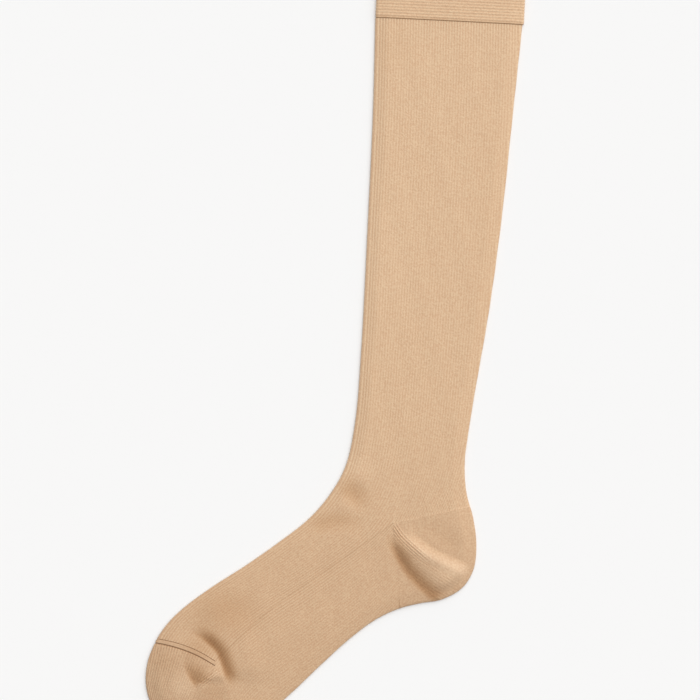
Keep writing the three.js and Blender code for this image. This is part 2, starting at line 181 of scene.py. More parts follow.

# Broad patches of painted shade.
PAINTED_SHADE_PATCHES = [
    {"at": (-82, -16), "reach": (34, 24), "amount": 0.1},  # above the toe tuck
    {"at": (-98, -41), "reach": (18, 13), "amount": 0.08},  # between the toe tuck and the seam
    {"at": (-122, -51), "reach": (14, 12), "amount": 0.04},  # instep side of the toes
    {"at": (-88, -72), "reach": (18, 14), "amount": 0.05},  # below the toe seam's end
    {"at": (-96, -59), "reach": (12, 10), "amount": 0.07},  # in the dent of the toe cap
    {"at": (86, 250), "reach": (24, 150), "amount": 0.012},  # calf
    {"at": (10, 372), "reach": (26, 30), "amount": 0.018},  # front of the leg, under the band
]

# Broad patches of painted light.
PAINTED_LIGHT_PATCHES = [
    {"at": (2, 87), "reach": (18, 15), "amount": 0.07},  # above the ankle dips
    {"at": (12, 225), "reach": (32, 125), "amount": 0.018},  # shin
    {"at": (-109, -68), "reach": (14, 14), "amount": 0.15},  # beside the dent of the toe cap
    {"at": (67, 17), "reach": (18, 11), "amount": 0.12},  # below the crest of the heel
]

# Slight unevenness of all the cloth: waves for each millimetre along X and along Y.
RIPPLE_RISE = 0.045
RIPPLES = [
    {"x": 0.031, "y": 0.009, "phase": 0.4},
    {"x": -0.013, "y": 0.021, "phase": 1.9},
    {"x": 0.055, "y": 0.017, "phase": 3.1},
    {"x": 0.023, "y": -0.047, "phase": 5.0},
]

TUCK_ROUNDING = 0.2  # share of the climb in which the cloth turns upwards at the bottom
TUCK_POWER = 3.1  # how much of the climb is near the bottom
SOFTNESS = 3.0  # length over which the share along a line passes from one part to another
LINE_STEP = 4  # a crease's line takes every fourth point of its curve

# Fine raised lines along the gore of the heel and of the toe, each moved sideways from the first.
HEEL_GORE = {
    "path": [(28.6, 50), (35, 41.8), (46.2, 32.4), (54, 26.6), (66, 19), (78, 12.5)],
    "fade": (0.35, 0.75),  # the shares of the path between which the lines die away
    "light": 0.4,  # painted highlight: how much paler a line is for each millimetre that it rises
    "lines": [
        {"offset": 1.8, "rise": 0.25, "width": 0.9},
        {"offset": 0.0, "rise": 0.42, "width": 0.85},
        {"offset": -1.7, "rise": 0.38, "width": 0.8},
        {"offset": -3.3, "rise": 0.24, "width": 0.75},
        {"offset": -5.0, "rise": 0.12, "width": 0.8},
    ],
}
TOE_GORE = {
    "path": [(-85, -55.4), (-89.8, -59.5), (-98, -66.3), (-102.6, -70)],
    "fade": (0.62, 0.8),
    "light": 0.9,
    "lines": [
        {"offset": 0.0, "rise": 0.42, "width": 0.75},
        {"offset": 1.5, "rise": 0.36, "width": 0.75},
        {"offset": 3.1, "rise": 0.16, "width": 0.75},
        {"offset": -1.6, "rise": 0.2, "width": 0.75},
        {"offset": -3.2, "rise": 0.14, "width": 0.75},
    ],
}

GORE_START = 0.04  # share of the path in which the lines begin
GORE_PAINTED_SHADE = 0.09  # painted shade round the lines
GORE_REACH = 4.5  # how far that reaches from the middle of the lines

# ---- Curves -----------------------------------------------------------------------------------
CURVE_STEPS = 24  # of a curve, between two of the points that it is given


class Curve:
    """A smooth curve through points, found by the share of its length."""

    def __init__(self, points):
        given = np.array(points, float)
        padded = np.vstack([2 * given[0] - given[1], given, 2 * given[-1] - given[-2]])
        t = np.linspace(0, 1, CURVE_STEPS, endpoint=False)[:, None]
        spans = []
        for a, b, c, d in zip(padded, padded[1:], padded[2:], padded[3:]):
            ab, bc, cd = (math.sqrt(np.linalg.norm(v)) for v in (b - a, c - b, d - c))
            leave = bc * ((b - a) / ab - (c - a) / (ab + bc) + (c - b) / bc)
            arrive = bc * ((c - b) / bc - (d - b) / (bc + cd) + (d - c) / cd)
            square = 3 * (c - b) - 2 * leave - arrive
            cube = 2 * (b - c) + leave + arrive
            spans.append(b + leave * t + square * t**2 + cube * t**3)
        self.points = np.vstack([*spans, given[-1:]])
        steps = np.linalg.norm(np.diff(self.points, axis=0), axis=1)
        self.along = np.concatenate([[0], np.cumsum(steps)])
        self.length = self.along[-1]

    def at(self, share):
        """Points at shares of the length. Past an end the curve goes straight on."""
        distance = np.asarray(share, float) * self.length
        over = distance - np.clip(distance, 0, self.length)
        found = [np.interp(distance, self.along, self.points[:, k]) for k in (0, 1)]
        start = self.points[1] - self.points[0]
        end = self.points[-1] - self.points[-2]
        heading = np.where(over[..., None] < 0, start, end)
        heading = heading / np.linalg.norm(heading, axis=-1, keepdims=True)
        return np.stack(found, -1) + over[..., None] * heading

    def share_at_level(self, level):
        """The share of the length at which the curve first comes down to a level."""
        y = self.points[:, 1]
        below = int(np.argmax(y <= level))
        part = (y[below - 1] - level) / (y[below - 1] - y[below])
        step = self.along[below] - self.along[below - 1]
        return (self.along[below - 1] + part * step) / self.length

    def between(self, from_level, to_level):
        low, high = self.share_at_level(from_level), self.share_at_level(to_level)
        return lambda share: self.at(low + (high - low) * np.asarray(share, float))


def toe_point(turn):
    """A point of the toe's outline: 0 degrees is the tip, -90 the instep and 90 the sole."""
    along = np.array([math.cos(TOE_AXIS), math.sin(TOE_AXIS)])
    to_sole = np.array([-along[1], along[0]])
    width = TOE_WIDTHS[-1 if turn < 0 else 1]
    angle = math.radians(turn)
    out = TOE_LENGTH * math.cos(angle) * along + width * math.sin(angle) * to_sole
    return np.array(TOE_CENTRE) + out


def fold_curve(rows, side):
    """A fold of the tube, which runs on round the toe and a little past its tip."""
    turns = range(90, -TOE_STEP - 1, -TOE_STEP)
    return Curve([*rows, *(toe_point(side * turn) for turn in turns)])


front_fold = fold_curve(FRONT_FOLD, -1)
back_fold = fold_curve(BACK_FOLD, 1)
leg_side_line = Curve(LEG_SIDE_LINE)
foot_side_line = Curve(FOOT_SIDE_LINE)


def toe_outline():
    """The edge of the toe cap, from the toe seam round the tip to the sole."""
    start = front_fold.at(front_fold.share_at_level(TOE_SEAM_LOWER_FOLD_Y))
    end = back_fold.at(back_fold.share_at_level(TOE_SOLE_FOLD_Y))
    first, last = TOE_CAP_TURNS
    turns = range(first, last + 1, TOE_STEP)
    return Curve([start, *(toe_point(turn) for turn in turns), end])


# ---- Relief -----------------------------------------------------------------------------------
def smoothstep(x, low=0.0, high=1.0):
    t = np.clip((x - low) / (high - low), 0, 1)
    return t * t * (3 - 2 * t)


def bell(x):
    """1 at 0, down to 0 at 1 and past it."""
    return np.where(x < 1, (1 + np.cos(math.pi * np.minimum(x, 1))) / 2, 0)


def graded(ends, along):
    """From the first value, where along is 0, to the second, where it is 1."""
    start, end = ends
    return start + (end - start) * along


def sided(pair, side):
    """The first value on the upper side of a path, and the second on the lower side."""
    upper, lower = pair
    return np.where(side > 0, upper, lower)


def nearest(line, x, y):
    """Distance to a polyline, the share along it, and the signed side: positive on its left."""
    count = len(line) - 1
    lost = SOFTNESS / np.linalg.norm(np.diff(line, axis=0), axis=1).sum()
    found = []
    for i in range(count):
        step = line[i + 1] - line[i]
        dx, dy = x - line[i][0], y - line[i][1]
        share = np.clip((dx * step[0] + dy * step[1]) / (step @ step), 0, 1)
        away = np.hypot(dx - share * step[0], dy - share * step[1])
        found.append((away, (i + share) / count, np.sign(step[0] * dy - step[1] * dx)))
    best = np.min([away for away, _, _ in found], axis=0)
    total, along, side = np.zeros(x.shape), np.zeros(x.shape), np.zeros(x.shape)
    for away, share, hand in found:
        weight = np.exp((best - away) / SOFTNESS)
        total += weight
        along += weight * share
        side = np.where(away == best, hand, side)
    along = np.clip((along / total - lost) / (1 - 2 * lost), 0, 1)
    return best, along, side


for form in [*CREASES, *TUCKS, HEEL_GORE, TOE_GORE]:
    form["line"] = Curve(form["path"]).points[::LINE_STEP]


def ripple(x, y):
    waves = (np.sin(2 * math.pi * (wave["x"] * x + wave["y"] * y) + wave["phase"]) for wave in RIPPLES)
    return sum(RIPPLE_RISE * wave for wave in waves)


def away_from(spot, x, y):
    """The distance from a spot's middle as a share of its reach."""
    return np.hypot((x - spot["at"][0]) / spot["reach"][0], (y - spot["at"][1]) / spot["reach"][1])


def swell(form, along):
    """How far a form has grown at a share of its path."""
    first, last = form["ends"]
    return smoothstep(along, 0, first) * smoothstep(1 - along, 0, last)


def tuck_height(tuck, distance, along, side):
    """The height across a tuck: a rounded shoulder on the upper side, a slight dip on the other."""
    climb = graded(tuck["climb"], along)
    climbed = np.clip(distance / climb, 0, 1)
    turned = climbed**2 * (1 + TUCK_ROUNDING) / (climbed + TUCK_ROUNDING)
    shoulder = 1 - (1 - turned) ** TUCK_POWER
    levelled = bell(np.maximum(distance - climb, 0) / graded(tuck["fall"], along))
    dip = tuck["dip"] * bell(distance / sided((climb, tuck["foot"]), side))
    return np.where(side > 0, tuck["rise"] * shoulder * levelled, 0) - dip


def painted_shade_kept(x, y):
    """The share of the knit's lightness kept under painted shade in the tucks, dips and dark patches, and
    raised by painted highlight where a crease's shade is negative.
    """
    painted_shading = np.ones(x.shape)
    for form in CREASES + TUCKS:
        distance, along, side = nearest(form["line"], x, y)
        shade = form["shade"] * bell(distance / sided(form["dark"], side))
        painted_shading = painted_shading * (1 - shade * swell(form, along))
    for spot in PAINTED_SHADE_PATCHES:
        painted_shading = painted_shading * (1 - spot["amount"] * bell(away_from(spot, x, y)))
    return painted_shading


def paler(x, y):
    """How many times paler the painted light of the pale patches makes the knit."""
    light = np.ones(x.shape)
    for spot in PAINTED_LIGHT_PATCHES:
        light = light * (1 + spot["amount"] * bell(away_from(spot, x, y)))
    return light


def gore_rise(gore, x, y):
    """The raised lines of a gore, the tone with a painted highlight on the lines and painted shade round
    them, and the distance from its path.
    """
    distance, along, side = nearest(gore["line"], x, y)
    offset = distance * side
    lines = gore["lines"]
    rise = sum(line["rise"] * bell(np.abs(offset - line["offset"]) / line["width"]) for line in lines)
    fade = smoothstep(along, 0, GORE_START) * (1 - smoothstep(along, *gore["fade"]))
    middle = np.mean([line["offset"] for line in lines])
    groove = GORE_PAINTED_SHADE * bell(np.abs(offset - middle) / GORE_REACH) - gore["light"] * rise
    return rise * fade, 1 - groove * fade, offset


def relief(x, y):
    """How far the visible side stands above the plain flat tube."""
    height = ripple(x, y)
    for dome in DOMES:
        height = height + dome["rise"] * bell(away_from(dome, x, y))
    for crease in CREASES:
        distance, along, side = nearest(crease["line"], x, y)
        raised = crease["rise"] * bell(distance / sided(crease["reach"], side))
        height = height + raised * swell(crease, along)
    for tuck in TUCKS:
        distance, along, side = nearest(tuck["line"], x, y)
        height = height + tuck_height(tuck, distance, along, side) * swell(tuck, along)
    return height


# ---- Sections of the cloth --------------------------------------------------------------------
class Knit:
    """Thickness, height and radius of the folds of a piece of the flat tube."""

    def __init__(self, wall, height, radius):
        self.wall = wall
        self.height = height
        self.radius = radius


BODY = Knit(WALL, HEIGHT, FOLD_RADIUS)
BAND = Knit(BAND_WALL, BAND_HEIGHT, BAND_FOLD_RADIUS)


def quarter(fold, inner, knit, part, upper, bow, depth):
    """Outer and inner points of one layer, rows by columns: part is 0 at the fold, 1 at the inner line.

    bow is how far the middle of a row is pushed to the side, and depth how far its points are
    pressed in.
    """
    span = np.linalg.norm(inner - fold, axis=-1)[:, None]
    inwards = (inner - fold)[:, None, :] / span[..., None]
    sideways = np.stack([-inwards[..., 1], inwards[..., 0]], -1)
    radius = knit.radius
    bend = math.pi / 2 * radius
    arc = part[None, :] * (bend + span - FOLD_LENGTH)
    angle = np.minimum(arc, bend) / radius
    flat = np.maximum(arc - bend, 0)

    def layer(inset):
        distance = FOLD_LENGTH - (FOLD_LENGTH - inset) * np.cos(angle) + flat
        share = distance / span
        plan = fold[:, None, :] + inwards * distance[..., None]
        plan = plan + sideways * (4 * bow[:, None] * share * (1 - share))[..., None]
        up = (radius - inset) * np.sin(angle)
        return plan, distance, up

    def heights(plan, distance, up):
        if not upper:
            return radius - up
        crown = (knit.height - 2 * radius) * smoothstep(distance, 0, FOLD_REACH)
        grown = smoothstep(distance, FOLD_LENGTH / 2, FOLD_LENGTH / 2 + FOLD_REACH)
        raised = crown + grown * relief(plan[..., 0], plan[..., 1])
        least = (2 * knit.wall + LEAST_AIR - 2 * radius) * smoothstep(distance, 0, FOLD_LENGTH)
        return radius + up + np.maximum(raised, least)

    def points(inset):
        plan, distance, up = layer(inset)
        return np.concatenate([plan, heights(plan, distance, up)[..., None]], -1)

    return points(depth), points(knit.wall)


class Grid:
    """A piece's surface, rows by columns.

    outer and inner are its points. wale counts the ribs across them, and course the millimetres
    along them. tone is a share of the knit's lightness with painted light and shade in it, the painted
    shading is the share kept under painted shade and highlight, and ribs is how strongly ribs show.
    """

    def __init__(self, outer, inner, closed):
        self.outer = outer
        self.inner = inner
        self.closed = closed
        self.wale = None
        self.course = None
        self.tone = np.ones(outer.shape[:2])
        self.painted_shading = np.ones(outer.shape[:2])
        self.ribs = np.ones(outer.shape[:2])


def rib_groove(wale):
    """0 on the crown of a rib and 1 in the groove between two."""
    return (1 - np.cos(2 * math.pi * wale)) / 2


def ring_grid(front, middle, back, knit, course, bow, depth_at):
    """Whole rings: over the visible side from the front fold to the back, and back underneath.

    The ribs are counted from the front fold, on either side. depth_at gives how far points are
    pressed in, from their count of ribs and their share of the way to the back fold.
    """
    part = np.arange(QUARTER_COLUMNS + 1) / QUARTER_COLUMNS
    front_width = np.linalg.norm(middle - front, axis=-1)[:, None]
    width = front_width + np.linalg.norm(middle - back, axis=-1)[:, None]
    pieces = []
    wales = []
    for fold, upper, outward in (
        (front, True, True), (back, True, False), (back, False, True), (front, False, False)
    ):
        along = part if outward else part[::-1]
        if fold is front:
            away = along[None, :] * front_width
        else:
            away = width - along[None, :] * (width - front_width)
        depth = depth_at(away / RIB_PITCH, away / width)
        side_bow = bow if fold is front else np.zeros_like(bow)
        pieces.append(quarter(fold, middle, knit, along, upper, side_bow, depth))
        wales.append(away[:, :-1] / RIB_PITCH)
    outer = np.concatenate([piece[0][:, :-1] for piece in pieces], 1)
    inner = np.concatenate([piece[1][:, :-1] for piece in pieces], 1)
    grid = Grid(outer, inner, True)
    # One more column than there are points, to close the ring at the front fold.
    grid.wale = np.concatenate([*wales, np.zeros((len(course), 1))], 1)
    grid.course = np.broadcast_to(course[:, None], grid.wale.shape)
    return grid


def fan_grid(fold, inner, columns, bow, depth):
    """Hairpins: from the inner line over the visible side to the fold, and back underneath."""
    part = np.arange(columns + 1) / columns
    upper = quarter(fold, inner, BODY, part[::-1], True, bow, depth[:, None])
    lower = quarter(fold, inner, BODY, part, False, bow, depth[:, None])
    outer, inside = (np.concatenate([over[:, :-1], under], 1) for over, under in zip(upper, lower))
    return Grid(outer, inside, False)


# ---- Mesh from a grid -------------------------------------------------------------------------
FRONT_X_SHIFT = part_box("top_band")[0].x / MM - BAND_FRONT_X
MOUTH_Y_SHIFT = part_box("top_band")[1].y / MM - MOUTH_Y


def place(points):
    """Drafting millimetres to the CAD's frame, in metres."""
    return (points + np.array([FRONT_X_SHIFT, MOUTH_Y_SHIFT, 0])) * MM


def grid_normals(points, closed):
    """Outward normals by differences, rows by columns."""
    if closed:
        across = np.roll(points, -1, 1) - np.roll(points, 1, 1)
    else:
        across = np.gradient(points, axis=1)
    along = np.gradient(points, axis=0)
    normals = np.cross(across, along)
    length = np.linalg.norm(normals, axis=-1, keepdims=True)
    return normals / np.maximum(length, 1e-12)


def make_shell(name, grid, spare=1, coarse=1):
    """A closed mesh of the grid without its spare rows, which only steady the normals."""
    keep = slice(spare, len(grid.outer) - spare)
    outer_normals = grid_normals(grid.outer, grid.closed)[keep]
    inner_normals = -grid_normals(grid.inner, grid.closed)[keep][:, ::coarse]
    outer = grid.outer[keep]
    inner = grid.inner[keep][:, ::coarse]
    rows, columns = outer.shape[:2]
    inner_columns = inner.shape[1]
    outer_index = np.arange(rows * columns).reshape(rows, columns)
    inner_index = rows * columns + np.arange(rows * inner_columns).reshape(rows, inner_columns)
    if grid.closed:
        outer_index = np.concatenate([outer_index, outer_index[:, :1]], 1)
        inner_index = np.concatenate([inner_index, inner_index[:, :1]], 1)

    def quads(index, flip):
        corners = [index[:-1, :-1], index[:-1, 1:], index[1:, 1:], index[1:, :-1]]
        if flip:
            corners.reverse()
        return np.stack(corners, -1).reshape(-1, 4)

    outer_quads = quads(outer_index, False)
    inner_quads = quads(inner_index, True)
    rims = []
    for row, outwards in ((0, False), (rows - 1, True)):
        for k in range(inner_index.shape[1] - 1):
            rim = [*outer_index[row, k * coarse : (k + 1) * coarse + 1]]
            rim += [inner_index[row, k + 1], inner_index[row, k]]
            rims.append(rim if outwards else rim[::-1])
    if not grid.closed:
        for column, inner_column, outwards in ((0, 0, True), (-1, -1, False)):
            for i in range(rows - 1):
                rim = [
                    outer_index[i, column], outer_index[i + 1, column],
                    inner_index[i + 1, inner_column], inner_index[i, inner_column],
                ]
                rims.append(rim if outwards else rim[::-1])

    points = np.concatenate([outer.reshape(-1, 3), inner.reshape(-1, 3)])
    mesh = bpy.data.meshes.new(name)
    faces = [*outer_quads.tolist(), *inner_quads.tolist(), *([int(v) for v in rim] for rim in rims)]
    mesh.from_pydata(place(points).tolist(), [], faces)

    smooth = np.zeros(len(faces), bool)
    smooth[: len(outer_quads) + len(inner_quads)] = True
    mesh.polygons.foreach_set("use_smooth", smooth)
    vertex_normals = np.concatenate([outer_normals.reshape(-1, 3), inner_normals.reshape(-1, 3)])
    loop_normals = np.zeros((len(mesh.loops), 3))
    walls = np.concatenate([outer_quads.reshape(-1), inner_quads.reshape(-1)])
    loop_normals[: len(walls)] = vertex_normals[walls]
    mesh.normals_split_custom_set(loop_normals.tolist())

    def by_corner(values):
        corners = [values[:-1, :-1], values[:-1, 1:], values[1:, 1:], values[1:, :-1]]
        return np.stack(corners, -1).reshape(-1)

    knit_map = mesh.uv_layers.new(name="knit")
    uv = np.zeros((len(mesh.loops), 2))
    count = outer_quads.size
    uv[:count, 0] = by_corner(grid.wale[keep])
    uv[:count, 1] = by_corner(grid.course[keep])
    knit_map.data.foreach_set("uv", uv.reshape(-1))
    for attribute, inside in (("tone", INSIDE_TONE), ("painted_shading", 1), ("ribs", 1)):
        outside = getattr(grid, attribute)[keep].reshape(-1)
        values = np.concatenate([outside, np.full(inner.shape[0] * inner_columns, inside)])
        layer = mesh.attributes.new(attribute, "FLOAT", "POINT")
        layer.data.foreach_set("value", values.astype(np.float32))
    mesh.update()
    piece = bpy.data.objects.new(name, mesh)
    bpy.context.scene.collection.objects.link(piece)
    return piece


def shares(count, spare=1):
    """Even shares from 0 to 1, with spare rows past both ends."""
    return np.arange(-spare, count + spare + 1) / count


# ---- Tone: the knit's lightness, darker towards the foot, with painted light and shade as well -----
# The tone at levels of Y.
TONE_LEVELS = [
    (-110, 0.875), (-40, 0.874), (30, 0.895), (60, 0.927), (110, 0.955), (220, 0.98), (400, 1.0),
]
INSIDE_TONE = 0.9

# How much a line or an edge changes the tone or the ribs, and how far from it that reaches.
PAINTED_FRONT_FOLD_LIGHT = {"amount": 0.1, "reach": 1.6}  # painted light along the front fold
FRONT_RIBS = {"amount": 1.3, "reach": 12}
TOP_RIBS = {"amount": 0.5, "reach": 30}  # under the band
TOP_RIB_ENDS = {"amount": 0.8, "reach": 5}
FOOT_SIDE_RIBS = {"amount": 1.2, "reach": 18}
FOOT_SIDE_SHADE = {"amount": 0.09, "reach": 1.0}
FOOT_HEEL_SHADE = {"amount": 0.3, "reach": 1.6}  # at the back fold, where foot and heel pocket meet
FOOT_HEEL_SPREAD = 11  # how far in from the fold
LEG_SIDE_LIGHT = {"amount": 0.07, "reach": 1.2}  # just above the heel
LEG_SIDE_SPREAD = 26  # how far up
LEG_END_LIGHT = {"amount": 0.08, "reach": 2.4}  # where the leg meets the heel pocket
LEG_END_START = 12  # how far behind the side line that gets to its full strength
BAND_SEAM_SHADE = {"amount": 0.42, "reach": 1.1}
BAND_ROW_SHADE = {"amount": 0.05, "reach": 0.9}  # the row of stitches above the seam
BAND_STITCH_SHADE = {"amount": 0.07, "reach": 0.9}
BAND_ROW_HEIGHT = 1.6  # of that row above the seam
BAND_STITCH_SLANT = 0.3  # ribs for each millimetre up
BAND_COURSE_SHADE = 0.03


def near(line, distance):
    """How much a line changes the knit at a distance from it."""
    return line["amount"] * bell(np.abs(distance) / line["reach"])


def set_tone(grid):
    """The tone of a grid's points, with the painted light of the pale patches, and the painted shade and
    highlight of the tucks, dips and patches. These show only on the visible side.
    """
    x, y, z = (grid.outer[..., k] for k in range(3))
    levels, tones = zip(*TONE_LEVELS)
    grid.tone = np.interp(y, levels, tones) * np.where(z > FOLD_RADIUS, paler(x, y), 1)
    grid.painted_shading = np.where(z > FOLD_RADIUS, painted_shade_kept(x, y), 1)


# ---- Materials --------------------------------------------------------------------------------
def srgb(red, green, blue):
    channels = [c / 255 for c in (red, green, blue)]
    linear = [c / 12.92 if c <= 0.04045 else ((c + 0.055) / 1.055) ** 2.4 for c in channels]
    return (*linear, 1.0)


class Nodes:
    """Short calls to add and link shader nodes."""

    def __init__(self, material):
        material.use_nodes = True
        self.tree = material.node_tree
        self.tree.nodes.clear()

    def add(self, kind, inputs=None, **settings):
        node = self.tree.nodes.new(kind)
        for key, value in settings.items():
            setattr(node, key, value)
        for key, value in (inputs or {}).items():
            if isinstance(value, bpy.types.NodeSocket):
                self.tree.links.new(value, node.inputs[key])
            else:
                node.inputs[key].default_value = value
        return node

    def math(self, operation, a, b=0.0, c=0.0):
        return self.add("ShaderNodeMath", {0: a, 1: b, 2: c}, operation=operation).outputs[0]

    def mix(self, factor, a, b, blend="MIX"):
        settings = {"data_type": "RGBA", "blend_type": blend}
        return self.add("ShaderNodeMix", {0: factor, 6: a, 7: b}, **settings).outputs[2]

    def add_up(self, start, parts):
        """start and every part times its weight."""
        total = start
        for part, weight in parts:
            total = self.math("MULTIPLY_ADD", part, weight, total)
        return total

    def finish(self, surface):
        output = self.add("ShaderNodeOutputMaterial")
        self.tree.links.new(surface.outputs[0], output.inputs[0])


# Powers of red, green and blue: a lower tone, and more painted shade, give a deeper colour as well as a
# darker one.
TONE_POWERS = (1.0, 1.29, 1.57)
PAINTED_SHADING_POWERS = (1.0, 1.55, 2.2)
RIB_LIGHT = srgb(226, 195, 160)
RIB_DARK = srgb(212, 174, 139)
PLAIN_LIGHT = srgb(222, 190, 155)
PLAIN_DARK = srgb(209, 172, 138)

STITCH_ROWS = 1.4  # rows of stitches for each millimetre along the ribs
STITCH_SLANT = 0.7  # twice the rows that the legs of a stitch rise
STITCH_LEGS = 0.6  # how much the rows tell in a stitch, and how much the wales
STITCH_WALES = 0.4

# Unevenness of the yarn. A scale counts features in a metre, and a stretch counts them in a rib
# across and in a millimetre along the ribs.
FUZZ_SCALE = 1400.0
GRAIN_SCALE = 780.0
PATCH_SCALE = 45.0
LOOP_SCALE = 1.7
LOOP_STRETCH = (1.0, 0.45)
STREAK_STRETCH = (0.9, 0.05)
RIB_STRETCH = (0.35, 0.22)
RIB_MEAN = 0.9  # mean strength of the ribs, and how much it varies
RIB_CHANGE = 2.5
GRAIN_PART = 1.8
LOOP_PART = 1.1

# How much each part tells in the shade, from dark at 0 to light at 1, and in the bump.
MEAN_SHADE = 0.5
STREAK_SHADE = 0.4
PATCH_SHADE = 0.15
FUZZ_SHADE = 0.45
STITCH_SHADE = 0.08
STITCH_BUMP = 0.5
FUZZ_BUMP = 0.5
GRAIN_BUMP = 1.2
BUMP_DEPTH = 0.15 * MM
BUMP_STRENGTH = 0.6
ROUGHNESS = 0.72
ROUGHNESS_CHANGE = 0.2
SPECULAR = 0.25
SHEEN = {"Sheen Weight": 0.18, "Sheen Roughness": 0.45, "Sheen Tint": (1.0, 0.93, 0.84, 1.0)}


def knit_material(name, light, dark, stitches, rib_shade, rib_bump, grain_shade):
    """Elastic knit. Its map counts ribs one way and millimetres the other. A rib has so many stitches."""
    material = bpy.data.materials.new(name)
    nodes = Nodes(material)
    coordinates = nodes.add("ShaderNodeUVMap", uv_map="knit").outputs[0]
    axes = nodes.add("ShaderNodeSeparateXYZ", {0: coordinates})
    wale, course = axes.outputs[0], axes.outputs[1]
    spot = nodes.add("ShaderNodeTexCoord").outputs["Object"]

    def noise(vector, scale, detail=2.0):
        found = nodes.add("ShaderNodeTexNoise", {"Vector": vector, "Scale": scale, "Detail": detail})
        return nodes.math("SUBTRACT", found.outputs[0], 0.5)

    def stretched(x, y):
        return nodes.add("ShaderNodeMapping", {"Vector": coordinates, "Scale": (x, y, 1.0)}).outputs[0]

    def wave(count):
        return nodes.math("COSINE", nodes.math("MULTIPLY", count, 2 * math.pi))

    # One stitch is a pair of slanted legs, so the rows zigzag from wale to wale.
    stitch_count = nodes.math("MULTIPLY", wale, stitches)
    zigzag = nodes.math("PINGPONG", stitch_count, 0.5)
    row_count = nodes.math("MULTIPLY_ADD", course, STITCH_ROWS, nodes.math("MULTIPLY", zigzag, STITCH_SLANT))
    stitch = nodes.add_up(0.0, [(wave(stitch_count), STITCH_WALES), (wave(row_count), STITCH_LEGS)])

    fuzz = noise(spot, FUZZ_SCALE, 3.0)
    grain = noise(spot, GRAIN_SCALE)
    patch = noise(spot, PATCH_SCALE, 3.0)
    loops = noise(stretched(*LOOP_STRETCH), LOOP_SCALE, 1.0)
    streak = noise(stretched(*STREAK_STRETCH), 1.0, 3.0)
    uneven = nodes.add_up(RIB_MEAN, [(noise(stretched(*RIB_STRETCH), 1.0), RIB_CHANGE)])
    grained = nodes.add_up(0.0, [(grain, GRAIN_PART), (loops, LOOP_PART)])

    ribs = nodes.add("ShaderNodeAttribute", attribute_name="ribs").outputs["Fac"]
    rib = nodes.math("MULTIPLY", wave(wale), nodes.math("MULTIPLY", uneven, ribs))
    shades = [
        (rib, rib_shade), (grained, grain_shade), (streak, STREAK_SHADE), (patch, PATCH_SHADE),
        (fuzz, FUZZ_SHADE), (stitch, STITCH_SHADE),
    ]
    colour = nodes.mix(nodes.add_up(MEAN_SHADE, shades), dark, light)
    # The tone, and the painted shade and highlight of the tucks, creases and patches, multiply the colour.
    for attribute, powers in (("tone", TONE_POWERS), ("painted_shading", PAINTED_SHADING_POWERS)):
        value = nodes.add("ShaderNodeAttribute", attribute_name=attribute).outputs["Fac"]
        channels = {k: nodes.math("POWER", value, power) for k, power in enumerate(powers)}
        channels = nodes.add("ShaderNodeCombineXYZ", channels).outputs[0]
        colour = nodes.mix(1.0, colour, channels, "MULTIPLY")

    bumps = [(stitch, STITCH_BUMP), (fuzz, FUZZ_BUMP), (grained, GRAIN_BUMP), (rib, rib_bump)]
    height = nodes.add_up(0.0, bumps)
    bump = {"Strength": BUMP_STRENGTH, "Distance": BUMP_DEPTH, "Height": height}
    surface = {
        "Base Color": colour,
        "Roughness": nodes.add_up(ROUGHNESS, [(grain, ROUGHNESS_CHANGE)]),
        "Normal": nodes.add("ShaderNodeBump", bump).outputs[0],
        "Specular IOR Level": SPECULAR,
        **SHEEN,
    }
    nodes.finish(nodes.add("ShaderNodeBsdfPrincipled", surface))
    return material


KNITS = {
    "band_knit": {
        "light": RIB_LIGHT, "dark": RIB_DARK, "stitches": 0.5,
        "rib_shade": 0.16, "rib_bump": 0.2, "grain_shade": 1.1,
    },
    "rib_knit": {
        "light": RIB_LIGHT, "dark": RIB_DARK, "stitches": 2.0,
        "rib_shade": 0.32, "rib_bump": 0.5, "grain_shade": 1.1,
    },
    "plain_knit": {
        "light": PLAIN_LIGHT, "dark": PLAIN_DARK, "stitches": 2.0,
        "rib_shade": 0.28, "rib_bump": 0.9, "grain_shade": 1.5,
    },
    "seam_knit": {
        "light": PLAIN_LIGHT, "dark": PLAIN_DARK, "stitches": 1.0,
        "rib_shade": 0.0, "rib_bump": 0.0, "grain_shade": 1.0,
    },
}
materials = {slot: knit_material(slot, **look) for slot, look in KNITS.items()}


# ---- Pieces -----------------------------------------------------------------------------------
def finish_piece(piece, node, slot):
    piece.data.materials.append(materials[slot])
    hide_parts(node)
    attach(piece, "root")


BAND_ROWS = 120
BAND_EDGE = 1.1  # radius of the band's rounded rims
BAND_EDGE_DEPTH = 0.9  # how far in the very edge of a rim is
BAND_COURSE_START = 0.25  # share of a course that the seam hides


